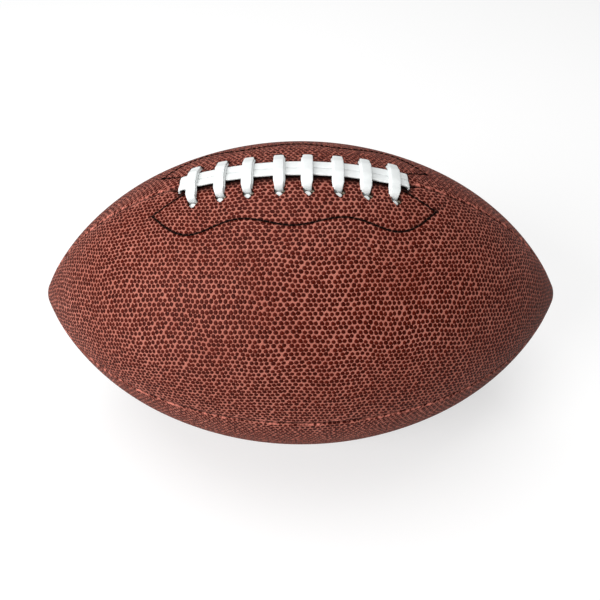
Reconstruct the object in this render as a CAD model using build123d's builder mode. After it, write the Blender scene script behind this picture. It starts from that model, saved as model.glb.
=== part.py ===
"""Laced four-panel American football, built up from its cover, linings, seams, lacing, bladder and valve.

Frame: millimetres, +X along the ball, +Z up with the lacing on top, and the origin on the ground
straight below the middle of the ball. Places round the ball are given as a turn in degrees about its
long axis: 0 is the top seam, 90 the front seam (-Y), 180 the bottom seam and 270 the back seam.
"""

from build123d import *
from math import asin, cos, degrees, hypot, radians, sin, sqrt
import os

os.makedirs("parts", exist_ok=True)

# ---- driving dimensions ------------------------------------------------------------------------------
# the ball's outline: a crown arc, a flank arc each side of it and a small arc round each tip
half_length = 143.5
ball_radius = 84.0
tip_radius = 15.0
crown_end = 23.4            # degrees from the middle to where the flank arc starts
flank_end = 59.3            # degrees from the middle to where the tip arc starts

# cover panels and their turned-in, sewn edges
cover_thickness = 2.2
seam_gap = 0.1
seam_rounding = 1.0
flange_top = 1.5            # depths are measured down from the outside of the cover
flange_bottom = 6.5
flange_thickness = 1.8
flange_reach = 120.0        # the flanges are trimmed away towards the tips
lining_top = 2.3
lining_bottom = 3.3
lining_clearance = 0.1

# seam thread
thread_depth = 4.6
thread_width = 0.8
thread_pitch = 8.0
thread_reach = 116.0
thread_clearance = 0.05

# lacing
cross_places = [-49.6, -37.0, -24.3, -10.0, 3.2, 17.2, 30.0, 43.4]
lace_width = 5.0
lace_thickness = 1.2
lace_step = 0.8             # the second pass of each cross lies this far along the ball
lace_run_top = 4.8          # depth of the runs from hole to hole, below the facings
lace_run_clearance = 0.4
# the lower and the upper pass of a cross
cross_legs = (-0.65, 0.6)   # where each leg stands, from the middle of the hole outwards
cross_knees = (-0.35, 0.6)  # height above the slit at which each pass bends into its hole
cross_clearance = 0.05
leg_end_depth = 7.0
leg_lean = 0.9
shoulder_margin = 0.5
strand_lift = 0.9
strand_width = 4.8
strand_gap = 0.3
strand_start, strand_end = -57.5, 50.5
strand_bend = 2.0
strand_tuck = 5.3
strand_slot_length = 3.1
hole_offset = 14.6          # from the slit to the middle of a lace hole, along the surface
hole_size = (6.8, 4.4)
lace_hole_rounding = 1.6
slit_start, slit_end = -64.0, 57.0

# lace facing below the holes, its stitches, and the tongue below the slit
facing_top, facing_bottom = 3.4, 4.6
facing_middle = (slit_start + slit_end) / 2
facing_half_length = 66.0
facing_depths = (14.5, 30.2, 26.8, 31.5)    # corner, shoulder, waist and middle, across the ball
facing_places = (45.5, 25.7)                # shoulder and waist, along the ball from its middle
facing_end_length = 15.0
facing_inner_edge = 6.5
facing_margin = 3.5         # the facing reaches this far past its line of stitches
facing_band_reach = 80.0
stitch_length = 2.3
stitch_pitch = 3.0
stitch_radius = 0.3
stitch_lift = 0.02
tongue_top, tongue_bottom = 6.3, 7.3
tongue_half_width = 20.0

# bladder
bladder_top = 3.5
bladder_wall = 0.8
seam_groove = (3.0, 7.0)            # half width and depth of the groove that each seam presses in it
groove_margin = 1.0
facing_recess = (45.0, 4.9)         # half width and depth of the hollows left by facings and tongue
tongue_recess = (22.5, 7.6)
recess_start, recess_end = -78.0, 71.0
patch_recess_clearance = (0.5, 0.1)

# valve, in the middle of the back top panel
valve_turn = 315.0
needle_radius = 1.05
needle_length = 6.0
mouth_radius, mouth_depth = 2.0, 0.6
nozzle_radius, nozzle_top = 3.8, 0.4
valve_flange_radius, valve_flange_top, valve_flange_bottom = 11.0, 4.5, 5.7
valve_patch_radius, valve_patch_bottom = 14.5, 6.3
valve_boss_radius, valve_boss_bottom = 5.4, 13.0
valve_plug_radius = 2.6
valve_clearance = 0.2
boss_clearance = 0.05

# ---- geometry worked out from them -------------------------------------------------------------------
# The crown and flank radii are the two that make all five arcs run into each other without a corner.
sin_crown, cos_crown = sin(radians(crown_end)), cos(radians(crown_end))
sin_flank, cos_flank = sin(radians(flank_end)), cos(radians(flank_end))
reach = half_length - tip_radius * (1 - sin_flank)
rise = ball_radius - tip_radius * cos_flank
spread = sin_crown * (cos_crown - cos_flank) - (sin_flank - sin_crown) * (1 - cos_crown)
crown_radius = (reach * (cos_crown - cos_flank) - rise * (sin_flank - sin_crown)) / spread
flank_radius = (rise * sin_crown - reach * (1 - cos_crown)) / spread
crown_centre = ball_radius - crown_radius
flank_centre = (
    (crown_radius - flank_radius) * sin_crown,
    crown_centre + (crown_radius - flank_radius) * cos_crown,
)
tip_centre = half_length - tip_radius
long_axis = Axis((0, 0, ball_radius), (1, 0, 0))


def outline_radius(x, depth=0.0):
    """Distance from the long axis to the surface that lies `depth` inside the cover's outside."""
    x = abs(x)
    if x <= (crown_radius - depth) * sin_crown:
        return crown_centre + sqrt((crown_radius - depth) ** 2 - x**2)
    if x <= flank_centre[0] + (flank_radius - depth) * sin_flank:
        return flank_centre[1] + sqrt((flank_radius - depth) ** 2 - (x - flank_centre[0]) ** 2)
    return sqrt(max((tip_radius - depth) ** 2 - (x - tip_centre) ** 2, 0.0))


def seam_plane(turn):
    """Plane through the long axis: local X along the ball, local Y outwards at that turn."""
    angle = radians(turn)
    return Plane(origin=(0, 0, ball_radius), x_dir=(1, 0, 0), z_dir=(0, -cos(angle), -sin(angle)))


def surface_plane(x, turn, depth=0.0):
    """Plane on the crown of the ball: local X along the ball, local Z straight out of it."""
    angle = radians(turn)
    tilt = asin(x / crown_radius)
    radius = outline_radius(x) - depth * cos(tilt)
    return Plane(
        origin=(x - depth * sin(tilt), -radius * sin(angle), ball_radius + radius * cos(angle)),
        x_dir=(cos(tilt), sin(tilt) * sin(angle), -sin(tilt) * cos(angle)),
        z_dir=(sin(tilt), -cos(tilt) * sin(angle), cos(tilt) * cos(angle)),
    )


def inner_place(x, depth):
    """Where a leg that goes straight into the ball at x has got to, along the ball, at a depth."""
    return x * (1 - depth / crown_radius)


def turn_of(arc, x=0.0):
    """Turn, in degrees, that an arc length across the ball at x stands for."""
    return degrees(arc / outline_radius(x))


def draw_outline(depth):
    """Half of the ball's long section, `depth` inside the outside, drawn in the line around it."""
    CenterArc((tip_centre, 0), tip_radius - depth, 0, 90 - flank_end)
    CenterArc(flank_centre, flank_radius - depth, 90 - flank_end, flank_end - crown_end)
    CenterArc((0, crown_centre), crown_radius - depth, 90 - crown_end, 2 * crown_end)
    CenterArc(
        (-flank_centre[0], flank_centre[1]), flank_radius - depth, 90 + crown_end, flank_end - crown_end
    )
    CenterArc((-tip_centre, 0), tip_radius - depth, 90 + flank_end, 90 - flank_end)
    Line((depth - half_length, 0), (half_length - depth, 0))


def make_band(top, bottom, start=-half_length, end=half_length):
    """The long section's band between two depths, cut to a stretch of the ball's length."""
    with BuildSketch() as band:
        with BuildLine():
            draw_outline(top)
        make_face()
        with BuildLine():
            draw_outline(bottom)
        make_face(mode=Mode.SUBTRACT)
        with Locations(((start + end) / 2, ball_radius / 2)):
            Rectangle(end - start, 2 * ball_radius, mode=Mode.INTERSECT)
    return band.sketch


def seam_stretches(turn, limit):
    """Where a seam is sewn: all along the ball, except that the top seam is open at the lace slit."""
    if turn % 360 == 0:
        return [(-limit, slit_start), (slit_end, limit)]
    return [(-limit, limit)]


def stitch_points(turn):
    """Where the seam thread passes through the two flanges, in the seam's own plane."""
    count = round(2 * thread_reach / thread_pitch)
    places = [(step - count / 2) * thread_pitch for step in range(1, count)]
    return [
        (x, outline_radius(x, thread_depth))
        for x in places
        for start, end in seam_stretches(turn, thread_reach)
        if start + thread_pitch / 2 < x < end - thread_pitch / 2
    ]


def make_lacing_cutter(side):
    """Row of lace holes, at the front (-1) or the back (+1), and the openings for the strands' ends."""
    with BuildPart() as cutter:
        for x in cross_places:
            middle = inner_place(x + lace_step / 2, hole_offset**2 / (2 * ball_radius))
            with BuildSketch(surface_plane(middle, -side * turn_of(hole_offset, middle))):
                RectangleRounded(*hole_size, lace_hole_rounding)
            extrude(amount=2 * tongue_bottom, both=True)
        for x, inwards in ((strand_start, 1), (strand_end, -1)):
            with BuildSketch(surface_plane(x + inwards * lace_thickness, 0)):
                Rectangle(strand_slot_length, 2 * (strand_width + strand_gap))
            extrude(amount=2 * tongue_bottom, both=True)
    return cutter.part


def make_valve_cutter():
    with BuildPart() as cutter:
        with BuildSketch(valve_plane()):
            Circle(nozzle_radius + valve_clearance)
        extrude(amount=2 * flange_bottom, both=True)
    return cutter.part


def valve_plane(depth=0.0):
    return surface_plane(0, valve_turn, depth)


# ---- cover panels and linings ------------------------------------------------------------------------
panels = {"front_top": 0, "front_bottom": 90, "back_bottom": 180, "back_top": 270}


def is_seam_corner(edge):
    """True for the outer edges of a panel, along its two seams."""
    middle = edge @ 0.5
    radius = hypot(middle.Y, middle.Z - ball_radius)
    at_seam = min(abs(middle.Y), abs(middle.Z - ball_radius)) < seam_gap
    return at_seam and abs(radius - outline_radius(middle.X)) < seam_gap


def make_cutters(name):
    """Every hole that a panel and its lining share."""
    cutters = {
        "front_top": [make_lacing_cutter(-1)],
        "back_top": [make_lacing_cutter(1), make_valve_cutter()],
    }
    return cutters.get(name, [])


def make_cover_panel(name, start):
    shell = make_band(0, cover_thickness)
    cutters = make_cutters(name)
    with BuildPart() as cover_panel:
        with BuildSketch(seam_plane(start)):
            add(shell)
        revolve(axis=long_axis, revolution_arc=90)
        split(bisect_by=seam_plane(start).offset(seam_gap / 2), keep=Keep.TOP)
        split(bisect_by=seam_plane(start + 90).offset(-seam_gap / 2), keep=Keep.BOTTOM)
        fillet([edge for edge in cover_panel.edges() if is_seam_corner(edge)], seam_rounding)
        # turned-in edges, which the seam thread holds together
        for turn, inwards in ((start, 1), (start + 90, -1)):
            for low, high in seam_stretches(turn, flange_reach):
                with BuildSketch(seam_plane(turn).offset(inwards * seam_gap / 2)):
                    add(make_band(flange_top, flange_bottom, low, high))
                extrude(amount=inwards * flange_thickness)
            with BuildSketch(seam_plane(turn)):
                with Locations(*stitch_points(turn)):
                    Circle(thread_width / 2)
            extrude(amount=2 * flange_thickness, both=True, mode=Mode.SUBTRACT)
        for cutter in cutters:
            add(cutter, mode=Mode.SUBTRACT)
    cover_panel.part.label = "cover_panel_" + name
    export_step(cover_panel.part, "parts/cover_panel_" + name + ".step")


def make_lining(name, start):
    layer = make_band(lining_top, lining_bottom)
    cutters = make_cutters(name)
    edge = seam_gap / 2 + flange_thickness + lining_clearance
    with BuildPart() as lining:
        with BuildSketch(seam_plane(start)):
            add(layer)
        revolve(axis=long_axis, revolution_arc=90)
        split(bisect_by=seam_plane(start).offset(edge), keep=Keep.TOP)
        split(bisect_by=seam_plane(start + 90).offset(-edge), keep=Keep.BOTTOM)
        for cutter in cutters:
            add(cutter, mode=Mode.SUBTRACT)
    lining.part.label = "lining_" + name
    export_step(lining.part, "parts/lining_" + name + ".step")


for panel_name, panel_start in panels.items():
    make_cover_panel(panel_name, panel_start)
    make_lining(panel_name, panel_start)


# ---- seam thread: a line of thread along each flange, and a stitch through both at every hole ---------
def make_seam_thread(name, turn):
    side = seam_gap / 2 + flange_thickness
    top, bottom = thread_depth - thread_width / 2, thread_depth + thread_width / 2
    with BuildPart() as seam_thread:
        for inwards in (1, -1):
            for low, high in seam_stretches(turn, thread_reach):
                with BuildSketch(seam_plane(turn).offset(inwards * side)):
                    add(make_band(top, bottom, low, high))
                extrude(amount=inwards * thread_width)
        with BuildSketch(seam_plane(turn)):
            with Locations(*stitch_points(turn)):
                Circle(thread_width / 2 - thread_clearance)
        extrude(amount=side + thread_width / 2, both=True)
    seam_thread.part.label = "seam_thread_" + name
    export_step(seam_thread.part, "parts/seam_thread_" + name + ".step")


for seam_name, seam_turn in {"top": 0, "front": 90, "bottom": 180, "back": 270}.items():
    make_seam_thread(seam_name, seam_turn)


# ---- lace facings and their stitches -----------------------------------------------------------------
def facing_line(side, margin=0.0):
    """Outer outline of a facing seen from above, drawn in the line around it; side is -1 front, +1 back."""
    corner, shoulder, waist, middle = [side * (depth + margin) for depth in facing_depths]
    left = facing_middle - facing_half_length - margin
    right = facing_middle + facing_half_length + margin
    inner = side * (facing_inner_edge - margin)
    shoulder_place, waist_place = facing_places
    curve = Spline(
        (left, corner),
        (facing_middle - shoulder_place, shoulder),
        (facing_middle - waist_place, waist),
        (facing_middle, middle),
        (facing_middle + waist_place, waist),
        (facing_middle + shoulder_place, shoulder),
        (right, corner),
    )
    ends = [
        Line((left + facing_end_length, inner), (left, corner)),
        Line((right, corner), (right - facing_end_length, inner)),
    ]
    return [ends[0], curve, ends[1]]


def make_facing(name, side):
    layer = make_band(facing_top, facing_bottom, -facing_band_reach, facing_band_reach)
    cutter = make_lacing_cutter(side)
    with BuildPart() as facing:
        with BuildSketch(seam_plane(270)):
            add(layer)
        revolve(axis=long_axis, revolution_arc=180)
        with BuildSketch(Plane.XY.offset(ball_radius)):
            with BuildLine():
                start, _, end = facing_line(side, facing_margin)
                Line(end @ 1, start @ 0)
            make_face()
        extrude(amount=2 * ball_radius, mode=Mode.INTERSECT)
        add(cutter, mode=Mode.SUBTRACT)
    facing.part.label = "lace_facing_" + name
    export_step(facing.part, "parts/lace_facing_" + name + ".step")


def stitch_location(point, along):
    """Where a stitch lies on the ball, from its place and direction as seen from above."""
    plane = surface_plane(point.X, degrees(-asin(point.Y / outline_radius(point.X))))
    direction = plane.x_dir * along.X + plane.y_dir * along.Y
    origin = plane.origin + plane.z_dir * (stitch_radius + stitch_lift)
    return Plane(origin=origin, x_dir=plane.z_dir, z_dir=direction).location


def make_facing_stitch(name, side):
    with BuildLine(mode=Mode.PRIVATE):
        lines = facing_line(side)
    places = []
    for line in lines:
        count = int(line.length / stitch_pitch)
        for step in range(count):
            place = (step + 0.5) / count
            places.append(stitch_location(line @ place, line % place))
    with BuildPart() as facing_stitch:
        with Locations(*places):
            Cylinder(stitch_radius, stitch_length)
    facing_stitch.part.label = "facing_stitch_" + name
    export_step(facing_stitch.part, "parts/facing_stitch_" + name + ".step")


for facing_name, facing_side in {"front": -1, "back": 1}.items():
    make_facing(facing_name, facing_side)
    make_facing_stitch(facing_name, facing_side)


# ---- the lace: crosses, long strands, and the runs from hole to hole inside ---------------------------
def make_lace_cross(number, x):
    top = surface_plane(x, 0)
    across = Plane(origin=top.origin, x_dir=(0, 1, 0), z_dir=top.x_dir)
    shoulder = strand_gap / 2 + strand_width + shoulder_margin
    crest = strand_lift + 1.5 * lace_thickness + cross_clearance
    with BuildPart() as lace_cross:
        for level, shift in enumerate((0, lace_step)):
            leg = hole_offset + cross_legs[level]
            height = crest + level * (lace_thickness + cross_clearance)
            half = [(leg - leg_lean, -leg_end_depth), (leg, cross_knees[level]), (shoulder, height)]
            points = [(-across_it, up) for across_it, up in half] + half[::-1]
            with BuildSketch(across.offset(shift)):
                with BuildLine():
                    FilletPolyline(*points, radius=lace_thickness)
                trace(line_width=lace_thickness)
            extrude(amount=lace_width / 2, both=True)
    lace_cross.part.label = f"lace_cross_{number}"
    export_step(lace_cross.part, f"parts/lace_cross_{number}.step")


def make_lace_strand(name, side):
    radius = crown_radius + strand_lift + lace_thickness / 2
    inset = strand_bend + lace_thickness / 2
    left = degrees(asin((strand_start + inset) / radius))
    right = degrees(asin((strand_end - inset) / radius))
    with BuildPart() as lace_strand:
        with BuildSketch(seam_plane(0).offset(-side * strand_gap / 2)):
            with BuildLine():
                top = CenterArc((0, crown_centre), radius, 90 - right, right - left)
                left_bend = JernArc(start=top @ 1, tangent=top % 1, radius=strand_bend, arc_size=90)
                Line(left_bend @ 1, left_bend @ 1 + (left_bend % 1) * strand_tuck)
                right_bend = JernArc(start=top @ 0, tangent=-(top % 0), radius=strand_bend, arc_size=-90)
                Line(right_bend @ 1, right_bend @ 1 + (right_bend % 1) * strand_tuck)
            trace(line_width=lace_thickness)
        extrude(amount=-side * strand_width)
    lace_strand.part.label = "lace_strand_" + name
    export_step(lace_strand.part, "parts/lace_strand_" + name + ".step")


def make_lace_inner_runs(name, side):
    run_bottom = lace_run_top + lace_thickness
    run_edge = lace_width / 2 + lace_run_clearance
    legs = [inner_place(x, run_bottom) for x in cross_places]
    with BuildPart() as lace_inner_runs:
        for x, next_x in zip(legs, legs[1:]):
            with BuildSketch(seam_plane(-side * turn_of(hole_offset))):
                add(make_band(lace_run_top, run_bottom, x + lace_step + run_edge, next_x - run_edge))
            extrude(amount=lace_width / 2, both=True)
    lace_inner_runs.part.label = "lace_inner_runs_" + name
    export_step(lace_inner_runs.part, "parts/lace_inner_runs_" + name + ".step")


for cross_number, cross_place in enumerate(cross_places, start=1):
    make_lace_cross(cross_number, cross_place)
for side_name, lace_side in {"front": -1, "back": 1}.items():
    make_lace_strand(side_name, lace_side)
    make_lace_inner_runs(side_name, lace_side)

# ---- tongue below the slit ---------------------------------------------------------------------------
tongue_layer = make_band(tongue_top, tongue_bottom, slit_start, slit_end)
with BuildPart() as lace_tongue:
    with BuildSketch(seam_plane(-turn_of(tongue_half_width))):
        add(tongue_layer)
    revolve(axis=long_axis, revolution_arc=2 * turn_of(tongue_half_width))
lace_tongue.part.label = "lace_tongue"
export_step(lace_tongue.part, "parts/lace_tongue.step")


# ---- bladder: it fills the cover, so seams, facings, tongue and valve all press into it ----------------
def make_bladder_form(inset):
    """Solid with the bladder's outside when inset is 0, or its inside when inset is the wall."""
    with BuildSketch() as section:
        with BuildLine():
            draw_outline(bladder_top + inset)
        make_face()
    groove_half_width, groove_depth = seam_groove
    groove_reach = flange_reach + groove_margin + inset
    groove = make_band(0, groove_depth + inset, -groove_reach, groove_reach)
    recesses = [
        (
            turn_of(half_width + inset),
            make_band(0, depth + inset, recess_start - inset, recess_end + inset),
        )
        for half_width, depth in (facing_recess, tongue_recess)
    ]
    patch_side, patch_top = patch_recess_clearance
    with BuildPart() as form:
        with BuildSketch(seam_plane(0)):
            add(section.sketch)
        revolve(axis=long_axis, revolution_arc=360)
        for turn in panels.values():
            with BuildSketch(seam_plane(turn)):
                add(groove)
            extrude(amount=groove_half_width + inset, both=True, mode=Mode.SUBTRACT)
        for half_turn, layer in recesses:
            with BuildSketch(seam_plane(-half_turn)):
                add(layer)
            revolve(axis=long_axis, revolution_arc=2 * half_turn, mode=Mode.SUBTRACT)
        with BuildSketch(valve_plane(valve_patch_bottom + patch_top + inset)):
            Circle(valve_patch_radius + patch_side + inset)
        extrude(amount=2 * valve_patch_bottom, mode=Mode.SUBTRACT)
    return form.part


bladder_outside, bladder_inside = make_bladder_form(0), make_bladder_form(bladder_wall)
with BuildPart() as bladder:
    add(bladder_outside)
    add(bladder_inside, mode=Mode.SUBTRACT)
    with BuildSketch(valve_plane(valve_patch_bottom)):
        Circle(valve_boss_radius + boss_clearance)
    extrude(amount=4 * bladder_wall, both=True, mode=Mode.SUBTRACT)
bladder.part.label = "bladder"
export_step(bladder.part, "parts/bladder.step")

# ---- valve -------------------------------------------------------------------------------------------
valve_axis = Axis(valve_plane().origin, valve_plane().z_dir)
needle_end = nozzle_top + mouth_depth + needle_length
valve_outline = [
    (needle_radius, nozzle_top + mouth_depth),
    (mouth_radius, nozzle_top),
    (nozzle_radius, nozzle_top),
    (nozzle_radius, valve_flange_top),
    (valve_flange_radius, valve_flange_top),
    (valve_flange_radius, valve_flange_bottom),
    (valve_boss_radius, valve_flange_bottom),
    (valve_boss_radius, valve_boss_bottom),
    (valve_plug_radius, valve_boss_bottom),
    (valve_plug_radius, needle_end),
    (needle_radius, needle_end),
]
with BuildPart() as valve_body:
    with BuildSketch(seam_plane(valve_turn)):
        with BuildLine():
            Polyline(*[(radius, ball_radius - depth) for radius, depth in valve_outline], close=True)
        make_face()
    revolve(axis=valve_axis)
valve_body.part.label = "valve_body"
export_step(valve_body.part, "parts/valve_body.step")

with BuildPart() as valve_plug:
    with BuildSketch(valve_plane(valve_boss_bottom)):
        Circle(valve_plug_radius)
    extrude(amount=valve_boss_bottom - needle_end)
valve_plug.part.label = "valve_plug"
export_step(valve_plug.part, "parts/valve_plug.step")

with BuildPart() as valve_patch:
    with BuildSketch(valve_plane(valve_patch_bottom)):
        Circle(valve_patch_radius)
        Circle(valve_boss_radius + boss_clearance, mode=Mode.SUBTRACT)
    extrude(amount=valve_patch_bottom - valve_flange_bottom)
valve_patch.part.label = "valve_patch"
export_step(valve_patch.part, "parts/valve_patch.step")
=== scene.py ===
# A laced American football: pebbled composite cover, flat vinyl lace, black facing stitches.
# Metres, +X along the ball, +Z up through the lacing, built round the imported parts.
from math import asin, cos, pi, radians, sin, sqrt

import bpy
import numpy as np
from mathutils import Matrix, Vector


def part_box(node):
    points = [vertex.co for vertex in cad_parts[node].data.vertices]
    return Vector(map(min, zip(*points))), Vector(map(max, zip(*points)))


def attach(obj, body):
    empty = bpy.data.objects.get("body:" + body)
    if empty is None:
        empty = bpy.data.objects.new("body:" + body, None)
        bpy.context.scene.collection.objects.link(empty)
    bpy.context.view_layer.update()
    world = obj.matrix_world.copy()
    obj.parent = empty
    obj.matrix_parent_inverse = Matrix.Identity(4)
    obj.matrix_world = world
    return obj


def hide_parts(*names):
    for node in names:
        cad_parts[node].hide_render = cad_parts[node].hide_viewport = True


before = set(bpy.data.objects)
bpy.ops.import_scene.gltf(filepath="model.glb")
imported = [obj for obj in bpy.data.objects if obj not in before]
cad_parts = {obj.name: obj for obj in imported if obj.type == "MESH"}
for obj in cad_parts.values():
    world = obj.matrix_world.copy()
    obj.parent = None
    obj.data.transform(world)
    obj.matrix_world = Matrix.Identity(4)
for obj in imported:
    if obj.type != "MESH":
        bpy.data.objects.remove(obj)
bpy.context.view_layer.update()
mm = 0.001

lowCorner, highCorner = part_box("cover_panel_front_bottom")
ball = {
    "halfLength": highCorner[0] + 0.07 * mm,  # the panel's tip is rounded off just short of the true one
    "radius": highCorner[2] - lowCorner[2] + 0.06 * mm,
    "tipRadius": 15.0 * mm,
    "crownEnd": radians(23.4),  # from the middle to where the flank arc starts
    "flankEnd": radians(59.3),  # from the middle to where the tip arc starts
}
ball["axisHeight"] = ball["radius"]


def solveArcs(shape):
    sinCrown, cosCrown = sin(shape["crownEnd"]), cos(shape["crownEnd"])
    sinFlank, cosFlank = sin(shape["flankEnd"]), cos(shape["flankEnd"])
    reach = shape["halfLength"] - shape["tipRadius"] * (1 - sinFlank)
    rise = shape["radius"] - shape["tipRadius"] * cosFlank
    spread = sinCrown * (cosCrown - cosFlank) - (sinFlank - sinCrown) * (1 - cosCrown)
    crown = (reach * (cosCrown - cosFlank) - rise * (sinFlank - sinCrown)) / spread
    flank = (rise * sinCrown - reach * (1 - cosCrown)) / spread
    return crown, flank


crownRadius, flankRadius = solveArcs(ball)
crownLength = crownRadius * ball["crownEnd"]
flankLength = flankRadius * (ball["flankEnd"] - ball["crownEnd"])
halfProfile = crownLength + flankLength + ball["tipRadius"] * (pi / 2 - ball["flankEnd"])
crownCentre = ball["radius"] - crownRadius
flankCentreX = (crownRadius - flankRadius) * sin(ball["crownEnd"])
flankCentreR = crownCentre + (crownRadius - flankRadius) * cos(ball["crownEnd"])


# x, distance from the long axis, and lean of the surface, at an arc length from the middle
def profileAt(along):
    side, s = np.sign(along), np.abs(along)
    onCrown = s <= crownLength
    onFlank = (s > crownLength) & (s <= crownLength + flankLength)
    lean = np.where(
        onCrown,
        s / crownRadius,
        np.where(
            onFlank,
            ball["crownEnd"] + (s - crownLength) / flankRadius,
            ball["flankEnd"] + (s - crownLength - flankLength) / ball["tipRadius"],
        ),
    )
    radius = np.where(onCrown, crownRadius, np.where(onFlank, flankRadius, ball["tipRadius"]))
    tipCentre = ball["halfLength"] - ball["tipRadius"]
    centreX = np.where(onCrown, 0, np.where(onFlank, flankCentreX, tipCentre))
    centreR = np.where(onCrown, crownCentre, np.where(onFlank, flankCentreR, 0))
    return side * (centreX + radius * np.sin(lean)), centreR + radius * np.cos(lean), side * lean


# points on the cover: arc length along it, turn about the long axis from the top seam to the front
def ballPoint(along, turn, depth):
    x, r, lean = profileAt(along)
    r = np.maximum(r, 0)
    outX, outR = np.sin(lean), np.cos(lean)
    radial = r - depth * outR
    return np.stack(
        [x - depth * outX, -radial * np.sin(turn), ball["axisHeight"] + radial * np.cos(turn)], axis=-1
    )


# place and axes on the cover near the lacing: along the ball, away from the slit, straight out
def crownFrame(x, arc=0.0):
    lean = asin(x / crownRadius)
    radius = crownCentre + sqrt(crownRadius**2 - x**2)
    turn = -arc / radius  # arc is positive towards the back
    place = Vector((x, -radius * sin(turn), ball["axisHeight"] + radius * cos(turn)))
    out = Vector((sin(lean), -cos(lean) * sin(turn), cos(lean) * cos(turn)))
    along = Vector((cos(lean), sin(lean) * sin(turn), -sin(lean) * cos(turn)))
    return place, along, out.cross(along), out


def deselectAll():
    bpy.ops.object.select_all(action="DESELECT")


def getPoints(piece):
    points = np.empty(len(piece.data.vertices) * 3)
    piece.data.vertices.foreach_get("co", points)
    return points.reshape(-1, 3)


def setPoints(piece, points):
    piece.data.vertices.foreach_set("co", np.ascontiguousarray(points, dtype=float).ravel())
    piece.data.update()


# a flat grid with corners at -1 and 1, ready to be wrapped; x runs along, y across
def addGrid(name, alongCells, acrossCells):
    deselectAll()
    bpy.ops.mesh.primitive_grid_add(x_subdivisions=alongCells, y_subdivisions=acrossCells, size=2)
    grid = bpy.context.object
    grid.name = name
    grid.data.name = name
    return grid


def addModifier(piece, kind, settings):
    modifier = piece.modifiers.new(kind.title(), kind)
    for key, value in settings.items():
        setattr(modifier, key, value)
    bpy.context.view_layer.objects.active = piece
    deselectAll()
    piece.select_set(True)
    bpy.ops.object.modifier_apply(modifier=modifier.name)


# doubles merged and faces turned outwards
def cleanMesh(piece, merge=0.01 * mm):
    deselectAll()
    piece.select_set(True)
    bpy.context.view_layer.objects.active = piece
    bpy.ops.object.mode_set(mode="EDIT")
    bpy.ops.mesh.select_all(action="SELECT")
    bpy.ops.mesh.remove_doubles(threshold=merge)
    bpy.ops.mesh.normals_make_consistent(inside=False)
    bpy.ops.object.mode_set(mode="OBJECT")


def smoothByAngle(piece, degreesLimit=40):
    deselectAll()
    piece.select_set(True)
    bpy.context.view_layer.objects.active = piece
    bpy.ops.object.shade_smooth_by_angle(angle=radians(degreesLimit))


def joinPieces(pieces, name):
    deselectAll()
    for piece in pieces:
        piece.select_set(True)
    bpy.context.view_layer.objects.active = pieces[0]
    bpy.ops.object.join()
    joined = bpy.context.object
    joined.name = name
    joined.data.name = name
    return joined


def finishPiece(piece, material, slotName, *nodes):
    piece.data.materials.clear()
    piece.data.materials.append(material)
    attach(piece, "root")
    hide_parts(*nodes)


def storeNumbers(piece, name, numbers):
    attribute = piece.data.attributes.new(name, "FLOAT", "POINT")
    attribute.data.foreach_set("value", np.ascontiguousarray(numbers, dtype=np.float32))


def smoothStep(value, low, high):
    t = np.clip((value - low) / (high - low), 0, 1)
    return t * t * (3 - 2 * t)


# evenly spaced points on the smooth curve (natural cubic) through a few given ones
def curveThrough(points, count):
    knots = np.array(points, dtype=float)
    steps = np.linalg.norm(np.diff(knots, axis=0), axis=1)
    t = np.concatenate([[0], np.cumsum(steps)])
    n = len(t)
    system, right = np.eye(n), np.zeros((n, knots.shape[1]))
    for i in range(1, n - 1):
        before, after = t[i] - t[i - 1], t[i + 1] - t[i]
        system[i, i - 1 : i + 2] = before, 2 * (before + after), after
        right[i] = 6 * ((knots[i + 1] - knots[i]) / after - (knots[i] - knots[i - 1]) / before)
    bend = np.linalg.solve(system, right)
    fine = np.linspace(0, t[-1], 40 * n)
    i = np.clip(np.searchsorted(t, fine, side="right") - 1, 0, n - 2)
    h, a, b = (t[i + 1] - t[i])[:, None], (t[i + 1] - fine)[:, None], (fine - t[i])[:, None]
    path = (
        (bend[i] * a**3 + bend[i + 1] * b**3) / (6 * h)
        + (knots[i] / h - bend[i] * h / 6) * a
        + (knots[i + 1] / h - bend[i + 1] * h / 6) * b
    )
    lengths = np.concatenate([[0], np.cumsum(np.linalg.norm(np.diff(path, axis=0), axis=1))])
    even = np.linspace(0, lengths[-1], count)
    return np.stack([np.interp(even, lengths, path[:, k]) for k in range(path.shape[1])], axis=-1)


# evenly spaced points on the curve that a lace takes round a few corners
def roundedPath(corners, count):
    knots = np.array(corners, dtype=float)
    middles = (knots[1:] + knots[:-1]) / 2
    path = [knots[0]]
    for i in range(1, len(knots) - 1):
        start = knots[0] if i == 1 else middles[i - 1]
        end = knots[-1] if i == len(knots) - 2 else middles[i]
        for t in np.linspace(0, 1, 16)[1:]:
            path.append((1 - t) ** 2 * start + 2 * t * (1 - t) * knots[i] + t * t * end)
    path = np.array(path)
    lengths = np.concatenate([[0], np.cumsum(np.linalg.norm(np.diff(path, axis=0), axis=1))])
    even = np.linspace(0, lengths[-1], count)
    return np.stack([np.interp(even, lengths, path[:, k]) for k in range(path.shape[1])], axis=-1)


view = {
    "distance": 0.3218,
    "elevation": radians(47.34),
    "azimuth": radians(-0.2),
    "yaw": radians(0.07),
    "pitch": radians(-0.69),
    "roll": radians(0.21),
    "lens": 33.65,
}


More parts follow.
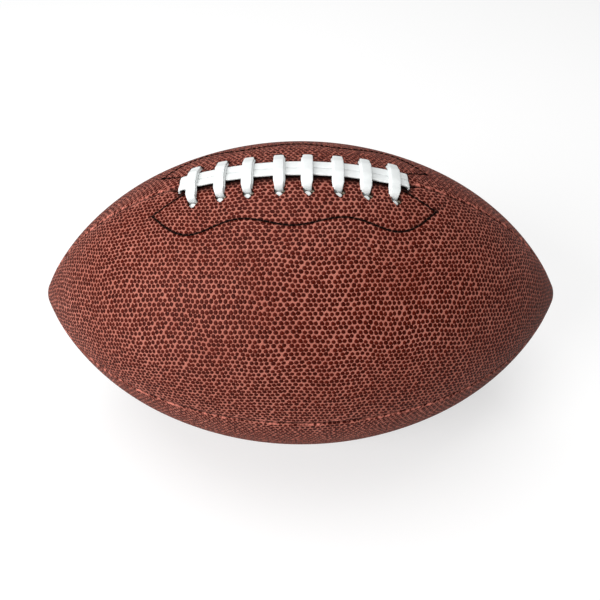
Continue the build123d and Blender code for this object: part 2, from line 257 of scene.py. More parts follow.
def addCamera():
    middle = Vector((0, 0, ball["axisHeight"]))
    back = Vector(
        (
            sin(view["azimuth"]) * cos(view["elevation"]),
            -cos(view["azimuth"]) * cos(view["elevation"]),
            sin(view["elevation"]),
        )
    )
    right = Vector((cos(view["azimuth"]), sin(view["azimuth"]), 0))
    up = back.cross(right)
    turned = Matrix.Rotation(view["pitch"], 3, right) @ Matrix.Rotation(view["yaw"], 3, up)
    axes = [turned @ axis for axis in (right, up, back)]
    rolled = Matrix.Rotation(view["roll"], 3, axes[2])
    cameraData = bpy.data.cameras.new("camera")
    cameraData.lens = view["lens"]
    cameraData.clip_start = 0.01
    camera = bpy.data.objects.new("camera", cameraData)
    bpy.context.scene.collection.objects.link(camera)
    turn = Matrix([rolled @ axis for axis in axes]).transposed().to_4x4()
    camera.matrix_world = Matrix.Translation(middle + back * view["distance"]) @ turn
    bpy.context.scene.camera = camera


lights = {
    # name: place, size, watts
    "keyLight": ((-0.95, -0.75, 0.85), 0.6, 13),
    "overheadLight": ((-0.2, 0.25, 1.5), 1.2, 13),
    "lowLight": ((-0.6, -1.0, 0.2), 0.3, 3.5),
}
worldStrength = 0.3


def addLights():
    middle = Vector((0, 0, ball["axisHeight"]))
    for name, (place, size, watts) in lights.items():
        lightData = bpy.data.lights.new(name, "AREA")
        lightData.energy = watts
        lightData.size = size
        light = bpy.data.objects.new(name, lightData)
        bpy.context.scene.collection.objects.link(light)
        light.location = place
        light.rotation_euler = (middle - Vector(place)).to_track_quat("-Z", "Y").to_euler()
    world = bpy.data.worlds.new("studio")
    bpy.context.scene.world = world
    world.use_nodes = True
    world.node_tree.nodes["Background"].inputs["Color"].default_value = (1, 1, 1, 1)
    world.node_tree.nodes["Background"].inputs["Strength"].default_value = worldStrength
    bpy.context.scene.view_settings.view_transform = "Standard"


print("camera and lights")
addCamera()
addLights()


# sRGB hex to the linear values that the shader takes
def hexColour(text):
    parts = [int(text[i : i + 2], 16) / 255 for i in (0, 2, 4)]
    return (*[p / 12.92 if p <= 0.04045 else ((p + 0.055) / 1.055) ** 2.4 for p in parts], 1.0)


# a node with its inputs and settings; an input that is a node takes that node's first output
def addNode(tree, kind, inputs=None, **settings):
    node = tree.nodes.new("ShaderNode" + kind)
    for key, value in settings.items():
        setattr(node, key, value)
    for key, value in (inputs or {}).items():
        if isinstance(value, bpy.types.Node):
            value = value.outputs[0]
        if isinstance(value, bpy.types.NodeSocket):
            tree.links.new(value, node.inputs[key])
        else:
            node.inputs[key].default_value = value
    return node


def startMaterial(name):
    material = bpy.data.materials.new(name)
    material.use_nodes = True
    shader = material.node_tree.nodes["Principled BSDF"]
    return material, material.node_tree, shader


pebbles = {
    "pitch": 2.3,  # mm between pebbles, in a loose triangular pattern
    "radius": 1.1,  # mm
    "sizeSpread": 0.12,
    "disorder": 0.28,
    "wander": 3.0,  # mm that the pattern strays by
    "wanderScale": 0.022,  # noise scales are per mm
    "ragged": 0.26,  # mm
    # scale per mm, detail and roughness
    "noises": {
        "ragged": (0.9, 2.0, 0.5),
        "patches": (0.035, 3.0, 0.6),
        "fine": (3.5, 2.0, 0.5),
        "wear": (0.35, 3.0, 0.5),
    },
    # where each mask starts and is full
    "edges": {
        "coat": (1.1, 0.7),  # parts of a pebble's radius
        "fold": (1.0, -0.6),  # mm from the seam
        "crest": (2.6, 1.2),  # mm from the seam
        "dent": (0.9, 0.2),  # mm from the stitched line
        "wear": (0.5, 0.66),
    },
    # painted shade: how dark the seam's fold is painted
    "foldPaintedShade": 0.85,
    "dentDark": 0.8,
    "top": "3A0700",
    "topRed": "4E1105",
    "valley": "BE7869",
    "valleyDark": "9A5547",
    "edgeWear": "D98272",
    # dark colour painted as shade in the seam and slit folds, and also laid along the stitched line
    "shadeAndStitchLineDark": "1A0604",
    "topRoughness": 0.42,
    "valleyRoughness": 0.75,
    "specular": 0.07,
    "height": 0.5,  # mm
    "crestFade": 0.6,
    "dentHeight": 0.35,  # mm
    "fineHeight": 0.05,  # mm
}


# distance in mm from the nearest pebble's middle, and that pebble's random numbers
def addPebblePattern(tree, sheet):
    pitch, wander = pebbles["pitch"], pebbles["wander"]
    rowHeight = pitch * sqrt(3) / 2
    noise = {"Vector": sheet, "Scale": pebbles["wanderScale"], "Detail": 1.0}
    wandering = addNode(tree, "TexNoise", noise, noise_dimensions="2D").outputs["Color"]
    spread, centre = (2 * wander, 2 * wander, 0), (-wander, -wander, 0)
    stray = addNode(tree, "VectorMath", {0: wandering, 1: spread, 2: centre}, operation="MULTIPLY_ADD")
    place = addNode(tree, "VectorMath", {0: sheet, 1: stray}, operation="ADD")
    split = addNode(tree, "SeparateXYZ", {0: place})
    row = addNode(tree, "Math", {0: split.outputs[1], 1: rowHeight}, operation="DIVIDE")
    halfRow = addNode(tree, "Math", {0: row, 1: 0.5}, operation="MULTIPLY")
    straight = addNode(tree, "Math", {0: split.outputs[0], 1: pitch}, operation="DIVIDE")
    column = addNode(tree, "Math", {0: straight, 1: halfRow}, operation="SUBTRACT")
    lattice = addNode(tree, "CombineXYZ", {0: column, 1: row})
    pattern = {"Vector": lattice, "Scale": 1.0, "Randomness": pebbles["disorder"]}
    cells = addNode(tree, "TexVoronoi", pattern, voronoi_dimensions="2D")
    away = addNode(tree, "VectorMath", {0: cells.outputs["Position"], 1: lattice}, operation="SUBTRACT")
    leaning = addNode(tree, "SeparateXYZ", {0: away}).outputs
    # back from the leaning lattice to true millimetres
    upright = addNode(tree, "Math", {0: leaning[1], 1: 0.5, 2: leaning[0]}, operation="MULTIPLY_ADD")
    awayX = addNode(tree, "Math", {0: upright, 1: pitch}, operation="MULTIPLY")
    awayY = addNode(tree, "Math", {0: leaning[1], 1: rowHeight}, operation="MULTIPLY")
    awayTrue = addNode(tree, "CombineXYZ", {0: awayX, 1: awayY})
    distance = addNode(tree, "VectorMath", {0: awayTrue}, operation="LENGTH").outputs["Value"]
    return distance, addNode(tree, "SeparateColor", {0: cells.outputs["Color"]}).outputs


def makeCoverLeather():
    # composite leather: embossed polyurethane; a dark coat wiped over the pebbles, matte in between
    material, tree, shader = startMaterial("embossedCompositeLeather")
    uvMap = addNode(tree, "UVMap", uv_map="leatherMap")
    scaled = addNode(tree, "VectorMath", {0: uvMap, "Scale": 1000.0}, operation="SCALE")
    sheet = scaled.outputs[0]
    noises = {}
    for name, (scale, detail, roughness) in pebbles["noises"].items():
        inputs = {"Vector": sheet, "Scale": scale, "Detail": detail, "Roughness": roughness}
        noises[name] = addNode(tree, "TexNoise", inputs, noise_dimensions="2D")
    distance, random = addPebblePattern(tree, sheet)
    spread, size, rough = pebbles["sizeSpread"], pebbles["radius"], pebbles["ragged"]
    sizes = {0: random[0], 1: 2 * spread * size, 2: size * (1 - spread)}
    cellSize = addNode(tree, "Math", sizes, operation="MULTIPLY_ADD")
    ragged = {0: noises["ragged"], 1: rough, 2: -rough / 2}
    raggedEdge = addNode(tree, "Math", ragged, operation="MULTIPLY_ADD")
    radius = addNode(tree, "Math", {0: cellSize, 1: raggedEdge}, operation="ADD")
    relative = addNode(tree, "Math", {0: distance, 1: radius}, operation="DIVIDE")
    squared = addNode(tree, "Math", {0: relative, 1: relative}, operation="MULTIPLY")
    dome = addNode(tree, "Math", {0: 1.0, 1: squared}, operation="SUBTRACT", use_clamp=True)
    # seams: pebbles fade on the rolled edge; the fold is painted dark as shade, and the coat is worn off
    # its crest
    seam = addNode(tree, "Attribute", attribute_name="seamDistance").outputs["Fac"]
    facingSide = addNode(tree, "Attribute", attribute_name="facingDistance").outputs["Fac"]
    facingAway = addNode(tree, "Math", {0: facingSide}, operation="ABSOLUTE")
    masks = {}
    for name, value, kind in (
        ("coat", relative, "SMOOTHSTEP"),
        ("fold", seam, "LINEAR"),
        ("crest", seam, "SMOOTHSTEP"),
        ("dent", facingAway, "SMOOTHSTEP"),
        ("wear", noises["wear"], "LINEAR"),
    ):
        bare, full = pebbles["edges"][name]
        inputs = {0: value, "From Min": bare, "From Max": full}
        masks[name] = addNode(tree, "MapRange", inputs, interpolation_type=kind)
    worn = addNode(tree, "Math", {0: masks["crest"], 1: masks["wear"]}, operation="MULTIPLY")
    foldPaintedShade = addNode(tree, "Math", {0: masks["fold"], 1: pebbles["foldPaintedShade"]}, operation="MULTIPLY")
    dentDark = addNode(tree, "Math", {0: masks["dent"], 1: pebbles["dentDark"]}, operation="MULTIPLY")
    # painted shade in the slit's fold below the strands
    slitPaintedShadeMask = addNode(tree, "Attribute", attribute_name="slitPaintedShade").outputs["Fac"]
    tops = {0: random[1], 6: hexColour(pebbles["top"]), 7: hexColour(pebbles["topRed"])}
    topColour = addNode(tree, "Mix", tops, data_type="RGBA").outputs[2]
    valleys = {6: hexColour(pebbles["valleyDark"]), 7: hexColour(pebbles["valley"])}
    valleys[0] = noises["patches"]
    colour = addNode(tree, "Mix", valleys, data_type="RGBA").outputs[2]
    dark = hexColour(pebbles["shadeAndStitchLineDark"])
    # laid over the valleys in turn: pebble coat, worn crests, painted shade in the seam and slit folds,
    # and a dark line along the stitches
    for amount, over in (
        (masks["coat"], topColour),
        (worn, hexColour(pebbles["edgeWear"])),
        (foldPaintedShade, dark),
        (dentDark, dark),
        (slitPaintedShadeMask, dark),
    ):
        colour = addNode(tree, "Mix", {0: amount, 6: colour, 7: over}, data_type="RGBA").outputs[2]
    tree.links.new(colour, shader.inputs["Base Color"])
    ends = {"To Min": pebbles["valleyRoughness"], "To Max": pebbles["topRoughness"]}
    roughness = addNode(tree, "MapRange", {0: masks["coat"], **ends})
    tree.links.new(roughness.outputs[0], shader.inputs["Roughness"])
    shader.inputs["Specular IOR Level"].default_value = pebbles["specular"]
    # height in mm: pebble domes, dents along the stitches, and fine creases
    rounded = addNode(tree, "Math", {0: dome, 1: 0.6}, operation="POWER")
    domes = addNode(tree, "Math", {0: rounded, 1: pebbles["height"]}, operation="MULTIPLY")
    crest = {0: masks["crest"], 1: -pebbles["crestFade"], 2: 1.0}
    fade = addNode(tree, "Math", crest, operation="MULTIPLY_ADD")
    height = addNode(tree, "Math", {0: domes, 1: fade}, operation="MULTIPLY")
    for mask, amount in (
        (masks["dent"], -pebbles["dentHeight"]),
        (noises["fine"], pebbles["fineHeight"]),
    ):
        height = addNode(tree, "Math", {0: mask, 1: amount, 2: height}, operation="MULTIPLY_ADD")
    bump = addNode(tree, "Bump", {"Strength": 0.8, "Distance": mm, "Height": height})
    tree.links.new(bump.outputs[0], shader.inputs["Normal"])
    return material


# a simple two-colour grain on object coordinates, for rubber, vinyl, cloth and thread
def makePlainGrain(name, colours, scaleInMm, roughness, bumpHeight, kind="noise", specular=0.4):
    material, tree, shader = startMaterial(name)
    place = {"Vector": addNode(tree, "TexCoord").outputs["Object"]}
    if kind == "weave":
        weave = {"Scale": 500 / scaleInMm, "Distortion": 0.6, "Detail": 1.0}
        grain = addNode(tree, "TexWave", {**place, **weave}).outputs["Fac"]
    else:
        noise = {"Scale": 1000 / scaleInMm, "Detail": 3.0}
        grain = addNode(tree, "TexNoise", {**place, **noise}).outputs["Fac"]
    dark, light = [hexColour(colour) for colour in colours]
    colour = addNode(tree, "Mix", {0: grain, 6: dark, 7: light}, data_type="RGBA")
    tree.links.new(colour.outputs[2], shader.inputs["Base Color"])
    ends = {"To Min": roughness - 0.06, "To Max": roughness + 0.06}
    spread = addNode(tree, "MapRange", {0: grain, **ends})
    tree.links.new(spread.outputs[0], shader.inputs["Roughness"])
    bump = addNode(tree, "Bump", {"Strength": 0.6, "Distance": bumpHeight * mm, "Height": grain})
    tree.links.new(bump.outputs[0], shader.inputs["Normal"])
    shader.inputs["Specular IOR Level"].default_value = specular
    return material


print("materials")
coverLeather = makeCoverLeather()
# extruded flat vinyl, white, with the soft shine of plastic and faint draw lines
laceVinyl = makePlainGrain("extrudedWhiteVinyl", ("E2E6E6", "EEF1F0"), 1.6, 0.42, 0.05)
blackThread = makePlainGrain("bondedBlackThread", ("050302", "0B0605"), 0.35, 0.8, 0.15, specular=0.05)
seamThread = makePlainGrain("waxedSeamThread", ("3A1A12", "5A2A1E"), 0.4, 0.6, 0.1)
cottonLining = makePlainGrain("wovenCottonLining", ("A89C86", "C8BEA8"), 0.8, 0.85, 0.1, "weave")
facingCanvas = makePlainGrain("impregnatedCanvas", ("77694F", "948468"), 0.9, 0.8, 0.1, "weave")
tongueRubber = makePlainGrain("pressedTongueRubber", ("120B0A", "1E1412"), 1.2, 0.7, 0.06)
bladderRubber = makePlainGrain("mouldedButylRubber", ("121110", "1D1B1A"), 2.0, 0.6, 0.05)
valveRubber = makePlainGrain("mouldedValveRubber", ("1A0B08", "2A1410"), 1.0, 0.5, 0.04)


lacing = {
    "crossPlaces": [-50.1, -37.0, -24.3, -10.0, 3.2, 17.2, 30.0, 43.4],  # mm along the ball
    "holeOffset": 13.3 * mm,
    "holeWidth": 5.4 * mm,
    "holeLength": 5.0 * mm,
    "holeShift": 0.3,  # mm along the ball, from a cross's place to its holes
    "holePoint": 0.62,
    "valveHole": 8.0 * mm,
    "cutterReach": 9.0 * mm,
    "slitStart": -64.0 * mm,
    "slitEnd": 57.0 * mm,
    "strandStart": -57.5 * mm,
    "strandEnd": 50.5 * mm,
}
panel = {
    "alongCells": 300,
    "acrossCells": 92,
    "rollWidth": 2.2 * mm,
    "rollDepth": 0.95 * mm,
    "rollCells": 5,
    "legDepths": (4.4 * mm, 2.4 * mm),
    "gap": 0.12 * mm,
    "thickness": 1.7 * mm,
    "slitEase": 5.0 * mm,  # along the ball, over which the seam opens to the slit
    "slitRollWidth": 7.0 * mm,
    "slitRollDepth": 2.6 * mm,
    "slitGap": 0.9 * mm,
    "slitShade": 8.4 * mm,  # from the slit, how far the fold below the strands is painted dark as shade
    "slitShadeEdge": 1.2 * mm,
    "slitShadeDepth": 0.9,
    "holeDent": 0.55 * mm,
    "holeDentReach": 4.2 * mm,
    "lineDent": 0.25 * mm,
    "lineDentReach": 1.6,  # mm
    "sheetStep": 0.4,  # each panel is cut from another part of the embossed sheet
    "sheetEdge": 0.2,
    "fadeRadius": 10.0 * mm,  # where the ball is thinner than this, the edges shrink with it
}
facing = {
    # places along the ball from the facing's middle, and how far across, in mm, seen from above
    "middle": -3.5,
    "halfLength": 66.0,
    "corner": 14.5,
    "shoulder": (45.5, 30.2),
    "waist": (25.7, 26.8),
    "crest": 31.5,
    "endLength": 15.0,
    "inner": 6.5,
    "reach": 90.0 * mm,  # beyond this no point is near the stitched line
    "farAway": 50.0,
}


# the stitched outline seen from above, from the slit round to the slit; side is -1 front, +1 back
def facingOutline(side, count=160):
    middle, half = facing["middle"], facing["halfLength"]
    shoulderX, shoulderY = facing["shoulder"]
    waistX, waistY = facing["waist"]
    curve = curveThrough(
        [
            (middle - half, facing["corner"]),
            (middle - shoulderX, shoulderY),
            (middle - waistX, waistY),
            (middle, facing["crest"]),
            (middle + waistX, waistY),
            (middle + shoulderX, shoulderY),
            (middle + half, facing["corner"]),
        ],
        count,
    )
    start = (middle - half + facing["endLength"], facing["inner"])
    end = (middle + half - facing["endLength"], facing["inner"])
    outline = np.vstack([[start], curve, [end]]) * mm
    return outline * (1, side)


# signed distance of points from an open line of short pieces; the sign is the nearest piece's side
def distanceToLine(points, line):
    starts, steps = line[:-1], np.diff(line, axis=0)
    lengths = np.sum(steps**2, axis=1)
    best, sign = np.full(len(points), 1.0), np.ones(len(points))
    for start, step, length in zip(starts, steps, lengths):
        to = points - start
        t = np.clip(to @ step / length, 0, 1)
        away = np.linalg.norm(to - t[:, None] * step, axis=1)
        nearer = away < best
        best = np.where(nearer, away, best)
        sign = np.where(nearer, np.sign(to[:, 0] * step[1] - to[:, 1] * step[0]), sign)
    return best * np.where(sign == 0, 1, sign)


# for each column: offset from the seam and depth, at every place along; side tells which seam
def panelColumns(alongs, side):
    x, r, _ = profileAt(alongs)
    ease = panel["slitEase"]
    shrink = np.clip(r / panel["fadeRadius"], 0, 1)
    slit = np.zeros_like(x)
    if side:
        slit = smoothStep(x, lacing["slitStart"], lacing["slitStart"] + ease)
        slit -= smoothStep(x, lacing["slitEnd"] - ease, lacing["slitEnd"])
    width = panel["rollWidth"] + (panel["slitRollWidth"] - panel["rollWidth"]) * slit
    depth = panel["rollDepth"] + (panel["slitRollDepth"] - panel["rollDepth"]) * slit
    gap = panel["gap"] + (panel["slitGap"] - panel["gap"]) * slit
    columns = [(gap * shrink, leg * shrink) for leg in panel["legDepths"]]
    for step in range(panel["rollCells"] + 1):
        angle = pi / 2 * step / panel["rollCells"]
        columns.append(((gap + width * (1 - cos(angle))) * shrink, depth * (1 - sin(angle)) * shrink))
    return columns


def makePanel(name, startTurn, slitSide=None, cutters=None):
    alongCells, acrossCells = panel["alongCells"], panel["acrossCells"]
    grid = addGrid(name, alongCells, acrossCells)
    flat = getPoints(grid)
    row = np.rint((flat[:, 0] + 1) / 2 * alongCells).astype(int)
    column = np.rint((flat[:, 1] + 1) / 2 * acrossCells).astype(int)
    alongs = np.linspace(-halfProfile, halfProfile, alongCells + 1)
    r = np.maximum(profileAt(alongs)[1], 1e-9)
    edges = [panelColumns(alongs, slitSide == "start"), panelColumns(alongs, slitSide == "end")]
    edgeCount = len(edges[0])
    turns = np.empty((acrossCells + 1, alongCells + 1))
    depths = np.zeros_like(turns)
    for index, (offset, depth) in enumerate(edges[0]):
        turns[index], depths[index] = offset / r, depth
    for index, (offset, depth) in enumerate(edges[1]):
        turns[-1 - index], depths[-1 - index] = pi / 2 - offset / r, depth
    first, last = turns[edgeCount - 1], turns[-edgeCount]
    inner = acrossCells + 1 - 2 * edgeCount
    for step in range(inner):
        turns[edgeCount + step] = first + (last - first) * (step + 1) / (inner + 1)
    fromSeam = np.minimum(turns, pi / 2 - turns) * r[None, :]
    seams = fromSeam - depths
    turn, depth, s = turns[column, row], depths[column, row], alongs[row]
    seam = seams[column, row] / mm
    points = ballPoint(s, startTurn + turn, depth)
    facingAway = np.full(len(points), facing["farAway"])
    if cutters:
        side = -1 if slitSide == "start" else 1
        onTop = (points[:, 2] > ball["axisHeight"]) & (np.abs(points[:, 0]) < facing["reach"])
        facingAway[onTop] = distanceToLine(points[onTop][:, :2], facingOutline(side)) / mm
        # the cover dips a little round each lace hole and along the stitched line
        for cross in lacing["crossPlaces"]:
            hole = crownFrame((cross + lacing["holeShift"]) * mm, side * lacing["holeOffset"])[0]
            away = np.linalg.norm(points - np.array(hole), axis=1)
            depth = depth + panel["holeDent"] * np.exp(-((away / panel["holeDentReach"]) ** 2))
        depth = depth + panel["lineDent"] * np.exp(-((facingAway / panel["lineDentReach"]) ** 2))
        points = ballPoint(s, startTurn + turn, depth)
    setPoints(grid, points)
    storeNumbers(grid, "seamDistance", seam)
    storeNumbers(grid, "facingDistance", facingAway)
    # painted shade: the slit's fold below the strands is darkened between the strands' ends
    ends, shade = 2.0 * mm, panel["slitShade"]
    fold = smoothStep(points[:, 0], lacing["strandStart"] - ends, lacing["strandStart"])
    fold *= smoothStep(-points[:, 0], -lacing["strandEnd"] - ends, -lacing["strandEnd"])
    fold *= smoothStep(-np.abs(points[:, 1]), -shade, panel["slitShadeEdge"] - shade)
    storeNumbers(grid, "slitPaintedShade", fold * (points[:, 2] > ball["axisHeight"]) * panel["slitShadeDepth"])
    # the embossing lies on the panel as it did on the flat sheet: true lengths along it and across it
    for layer in list(grid.data.uv_layers):
        grid.data.uv_layers.remove(layer)
    uvLayer = grid.data.uv_layers.new(name="leatherMap")
    sheetAlong = s + panel["sheetStep"] * startTurn
    sheet = np.stack([sheetAlong, r[row] * (turn - pi / 4) + panel["sheetEdge"]], axis=-1)
    corners = np.empty(len(grid.data.loops), dtype=int)
    grid.data.loops.foreach_get("vertex_index", corners)
    uvLayer.data.foreach_set("uv", sheet[corners].astype(np.float32).ravel())
    cleanMesh(grid)
    face = grid.data.polygons[len(grid.data.polygons) // 2]
    if face.normal.dot(face.center - Vector((0, 0, ball["axisHeight"]))) < 0:
        grid.data.flip_normals()
    solid = {"thickness": panel["thickness"], "offset": -1.0, "use_even_offset": False}
    addModifier(grid, "SOLIDIFY", solid)
    if cutters:
        addModifier(grid, "BOOLEAN", {"operation": "DIFFERENCE", "object": cutters, "solver": "EXACT"})
        bpy.data.objects.remove(cutters)
    smoothByAngle(grid, 50)
    grid.name = "coverPanel_" + name
    finishPiece(grid, coverLeather, "cover_leather", "cover_panel_" + name)


def placeMatrix(place, along, across, out):
    turn = Matrix((along, across, out)).transposed().to_4x4()
    return Matrix.Translation(place) @ turn


# a prism with a drop-shaped outline whose point looks across, or an oval one
def addDropCutter(place, along, across, out, width, length, pointed):
    deselectAll()
    bpy.ops.mesh.primitive_cylinder_add(vertices=28, radius=1, depth=2)
    cutter = bpy.context.object
    points = getPoints(cutter)
    reachOut = np.maximum(points[:, 1], 0)
    points[:, 0] *= width / 2 * (1 - pointed * reachOut**1.5)
    points[:, 1] *= length / 2 * (1 + pointed * 0.5 * reachOut)
    points[:, 2] *= lacing["cutterReach"]
    setPoints(cutter, points)
    cutter.data.transform(placeMatrix(place, along, across, out))
    return cutter


def makeTopCutters(side, withValve):
    cutters = []
    for cross in lacing["crossPlaces"]:
        x = (cross + lacing["holeShift"]) * mm
        place, along, across, out = crownFrame(x, side * lacing["holeOffset"])
        size = lacing["holeWidth"], lacing["holeLength"], lacing["holePoint"]
        cutters.append(addDropCutter(place, along * side, across * side, out, *size))
    if withValve:
        radius = ball["radius"] / sqrt(2)
        place = Vector((0, radius, ball["axisHeight"] + radius))
        out = Vector((0, 1, 1)).normalized()
        along = Vector((1, 0, 0))
        size = lacing["valveHole"], lacing["valveHole"], 0
        cutters.append(addDropCutter(place, along, out.cross(along), out, *size))
    return joinPieces(cutters, "cutters")


print("cover panels")
makePanel("front_top", 0, "start", makeTopCutters(-1, False))
makePanel("front_bottom", pi / 2)
makePanel("back_bottom", pi)
makePanel("back_top", 3 * pi / 2, "end", makeTopCutters(1, True))


lace = {
    "thickness": 0.82 * mm,
    "edge": 0.26 * mm,
    "crossWidth": 4.9 * mm,
    "holeWidth": 3.9 * mm,
    "tabShift": 1.25 * mm,
    "tabPoint": 0.45,
    "tabSize": (3.5 * mm, 3.8 * mm, 0.5 * mm),
    "tabDepth": 1.75 * mm,
    "crossTilt": [-0.5, -0.5, -0.5, 1.0, -0.5, -0.5, -1.0, -2.0],  # degrees off square to the slit
    "strandWidth": 4.9 * mm,
    "strandGap": 0.25 * mm,
    "strandLift": 0.75 * mm,
    "passGap": 0.05 * mm,
    "passStep": 1.0 * mm,  # the upper pass stands this much further out in the hole, and higher
    "shoulderInset": 0.4 * mm,
    "legInset": 2.6 * mm,  # from the middle of the hole to the lower pass's leg
    "narrowing": (2.6 * mm, 0.2 * mm),  # where a pass narrows, before and after its leg
    "kneeHeight": -0.2 * mm,
    # lower end of a strap inside the ball, outwards and up from its leg; then the bend above it
    "legEnd": (1.2 * mm, -6.5 * mm),
    "legMiddle": (0.3 * mm, -3.0 * mm),
    "slope": (2.4 * mm, 1.1 * mm),
    "crestRise": 0.1 * mm,
    # a strand's end, along the ball and up: tucked in, halfway in, and at the bend
    "strandTuck": (2.2 * mm, -5.0 * mm),
    "strandNeck": (0.2 * mm, -1.5 * mm),
    "strandBend": (-0.1 * mm, 0.1 * mm),
    "strandStraight": 2.5 * mm,
    # mm along the ball, of the lower passes
    "passShifts": [0.25, 0.45, 0.6, 0.6, -0.6, -0.6, -0.6, -0.6],
}


# a flat lace along a path: path and sideways are points and unit vectors, widths one for each point
def makeStrap(name, path, sideways, widths, thickness, acrossCells=6, crown=0.12 * mm):
    count = len(path)
    strap = addGrid(name, count - 1, acrossCells)
    flat = getPoints(strap)
    row = np.rint((flat[:, 0] + 1) / 2 * (count - 1)).astype(int)
    across = flat[:, 1]
    tangent = np.gradient(path, axis=0)
    tangent /= np.linalg.norm(tangent, axis=1)[:, None]
    up = np.cross(tangent, sideways)
    up /= np.linalg.norm(up, axis=1)[:, None]
    points = path[row] + sideways[row] * (across * widths[row] / 2)[:, None]
    points += up[row] * (crown * (1 - across**2))[:, None]
    setPoints(strap, points)
    for layer in list(strap.data.uv_layers):
        strap.data.uv_layers.remove(layer)
    uvLayer = strap.data.uv_layers.new(name="laceMap")
    lengths = np.concatenate([[0], np.cumsum(np.linalg.norm(np.diff(path, axis=0), axis=1))])
    sheet = np.stack([lengths[row], across * widths[row] / 2], axis=-1)
    corners = np.empty(len(strap.data.loops), dtype=int)
    strap.data.loops.foreach_get("vertex_index", corners)
    uvLayer.data.foreach_set("uv", sheet[corners].astype(np.float32).ravel())
    addModifier(strap, "SOLIDIFY", {"thickness": thickness, "offset": 0.0, "use_even_offset": True})
    addModifier(
        strap,
        "BEVEL",
        {"width": lace["edge"], "segments": 2, "limit_method": "ANGLE", "angle_limit": radians(50)},
    )
    cleanMesh(strap, 0.005 * mm)
    smoothByAngle(strap, 60)
    return strap


# the turn of the lace that shows in the outer end of a hole, where it comes up from the hole before
def makeTab(x, side):
    place, along, across, out = crownFrame(x, side * (lacing["holeOffset"] + lace["tabShift"]))
    deselectAll()
    bpy.ops.mesh.primitive_uv_sphere_add(segments=20, ring_count=12, radius=1)
    tab = bpy.context.object
    points = getPoints(tab)
    width, length, height = lace["tabSize"]
    points[:, 0] *= width / 2 * (1 - lace["tabPoint"] * np.maximum(points[:, 1], 0))
    points *= (1, length / 2, height)
    points[:, 2] -= lace["tabDepth"]
    setPoints(tab, points)
    tab.data.transform(placeMatrix(place, along * side, across * side, out))
    for layer in list(tab.data.uv_layers):
        tab.data.uv_layers.remove(layer)
    tab.data.uv_layers.new(name="laceMap")
    smoothByAngle(tab, 60)
    return tab


# one cross: two passes of the lace over the strands, from a front hole to the back one
def makeCross(number, x, tilt, passShift):
    place, along, across, out = crownFrame(x)
    lean = Matrix.Rotation(radians(tilt), 3, out)
    along, across = lean @ along, lean @ across
    thickness, holeShift = lace["thickness"], lacing["holeShift"] * mm
    shoulder = lace["strandWidth"] + lace["strandGap"] / 2 - lace["shoulderInset"]
    (endOut, endUp), (middleOut, middleUp) = lace["legEnd"], lace["legMiddle"]
    slopeOut, slopeDown = lace["slope"]
    before, after = lace["narrowing"]
    passes = []
    for level, shift in ((0, passShift), (1, 0.0)):
        crest = lace["strandLift"] + 1.5 * thickness + level * (thickness + lace["passGap"])
        leg = lacing["holeOffset"] - lace["legInset"] + level * lace["passStep"]
        halfPath = [
            (endOut - leg, endUp),
            (middleOut - leg, middleUp),
            (-leg, lace["kneeHeight"] + level * lace["passStep"]),
            (-shoulder - slopeOut, crest - slopeDown),
            (-shoulder, crest),
            (-shoulder * 0.5, crest + lace["crestRise"]),
        ]
        corners = halfPath + [(-p, q) for p, q in halfPath[::-1]]
        local = roundedPath(corners, 46)
        path = np.array(place) + np.array(along) * (shift - holeShift)
        path = path + local[:, :1] * np.array(across) + local[:, 1:] * np.array(out)
        narrow = smoothStep(np.abs(local[:, 0]), leg - before, leg + after)
        widths = lace["crossWidth"] + (lace["holeWidth"] - lace["crossWidth"]) * narrow
        sideways = np.repeat([-np.array(along)], len(path), axis=0)
        passes.append(makeStrap(f"pass{level}", path, sideways, widths, thickness))
    passes += [makeTab(x - holeShift, side) for side in (-1, 1)]
    cross = joinPieces(passes, f"laceCross{number}")
    finishPiece(cross, laceVinyl, "lace_plastic", f"lace_cross_{number}")


# one of the two long strands: along the slit, and down into it at both ends
def makeStrand(name, side):
    half = lace["thickness"] / 2
    lift = lace["strandLift"] + half
    start, end = lacing["strandStart"] + half, lacing["strandEnd"] - half
    ends = [lace["strandTuck"], lace["strandNeck"], lace["strandBend"]]
    ends[2] = ends[2][0], ends[2][1] + lift
    straight = lace["strandStraight"]
    corners = []
    for x, inwards in ((start, 1), (end, -1)):
        place, along, _, out = crownFrame(x)
        corners.append([place + along * inwards * forward + out * up for forward, up in ends])
    path = list(corners[0])
    for x in np.linspace(start + straight, end - straight, 9):
        place, _, _, out = crownFrame(x)
        path.append(place + out * lift)
    path = roundedPath([tuple(corner) for corner in path + corners[1][::-1]], 130)
    path[:, 1] = side * (lace["strandGap"] / 2 + lace["strandWidth"] / 2)
    sideways = np.repeat([(0.0, 1.0, 0.0)], len(path), axis=0)
    widths = np.full(len(path), lace["strandWidth"])
    strand = makeStrap("strand", path, sideways, widths, lace["thickness"])
    strand.name = "laceStrand_" + name
    finishPiece(strand, laceVinyl, "lace_plastic", "lace_strand_" + name)


print("lace")
for number, (x, tilt, passShift) in enumerate(
    zip(lacing["crossPlaces"], lace["crossTilt"], lace["passShifts"]), start=1
):
    makeCross(number, x * mm, tilt, passShift * mm)
makeStrand("front", -1)
makeStrand("back", 1)

stitch = {
    "pitch": 2.9 * mm,
    "length": 2.85 * mm,
    "radius": 0.4 * mm,
    "endDepth": 0.45 * mm,
    "arch": 0.4 * mm,
}


# place and outward direction on the cover, straight below or above a place seen from the top
def surfaceAt(x, y):
    lean = asin(x / crownRadius)
    radius = crownCentre + sqrt(crownRadius**2 - x**2)
    turn = -asin(y / radius)
    place = Vector((x, y, ball["axisHeight"] + radius * cos(turn)))
    out = Vector((sin(lean), -cos(lean) * sin(turn), cos(lean) * cos(turn)))
    return place, out


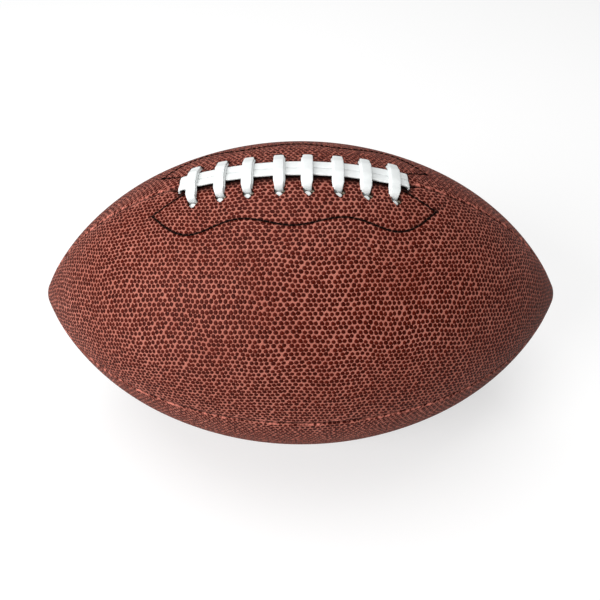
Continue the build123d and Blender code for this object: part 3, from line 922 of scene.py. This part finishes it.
def makeStitches(name, side):
    outline = facingOutline(side, 240)
    path = np.array([tuple(surfaceAt(x, y)[0]) for x, y in outline])
    lengths = np.concatenate([[0], np.cumsum(np.linalg.norm(np.diff(path, axis=0), axis=1))])
    count = int(lengths[-1] / stitch["pitch"])
    pieces = []
    for step in range(count):
        middle = (step + 0.5) * lengths[-1] / count
        spot = [np.interp(middle, lengths, path[:, k]) for k in range(3)]
        ahead = [np.interp(middle + 0.5 * mm, lengths, path[:, k]) for k in range(3)]
        place, out = surfaceAt(spot[0], spot[1])
        along = (Vector(ahead) - Vector(spot)).normalized()
        across = out.cross(along).normalized()
        deselectAll()
        bpy.ops.mesh.primitive_cylinder_add(vertices=8, radius=1, depth=2, end_fill_type="TRIFAN")
        thread = bpy.context.object
        thread.data.transform(Matrix.Rotation(pi / 2, 4, "Y"))
        addModifier(thread, "SUBSURF", {"levels": 1, "render_levels": 1})
        points = getPoints(thread)
        arch = 1 - points[:, 0] ** 2
        points[:, 0] *= stitch["length"] / 2
        points[:, 1] *= stitch["radius"]
        points[:, 2] = points[:, 2] * stitch["radius"] - stitch["endDepth"] + stitch["arch"] * arch
        setPoints(thread, points)
        thread.data.transform(placeMatrix(place, along, across, out))
        pieces.append(thread)
    row = joinPieces(pieces, "facingStitches_" + name)
    cleanMesh(row, 0.001 * mm)
    smoothByAngle(row, 60)
    finishPiece(row, blackThread, "facing_thread", "facing_stitch_" + name)


print("facing stitches")
makeStitches("front", -1)
makeStitches("back", 1)

keptFinishes = {
    "lining_": cottonLining,
    "seam_thread_": seamThread,
    "lace_facing_": facingCanvas,
    "lace_inner_runs_": laceVinyl,
    "lace_tongue": tongueRubber,
    "bladder": bladderRubber,
    "valve_": valveRubber,
}
for name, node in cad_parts.items():
    for start, material in keptFinishes.items():
        if name.startswith(start):
            for slotPlace in node.material_slots:
                slotPlace.material = material

print("floor")
floorGlow = 0.55  # a glow that only the camera sees, so that the paper stays pale
deselectAll()
bpy.ops.mesh.primitive_plane_add(size=6)
floor = bpy.context.object
floor.name = "floor"
floorPaper, tree, shader = startMaterial("whitePaper")
shader.inputs["Base Color"].default_value = hexColour("B8B8B8")
shader.inputs["Emission Color"].default_value = (1, 1, 1, 1)
seen = addNode(tree, "LightPath").outputs["Is Camera Ray"]
glow = addNode(tree, "Math", {0: seen, 1: floorGlow}, operation="MULTIPLY")
tree.links.new(glow.outputs[0], shader.inputs["Emission Strength"])
shader.inputs["Roughness"].default_value = 0.9
floor.data.materials.append(floorPaper)
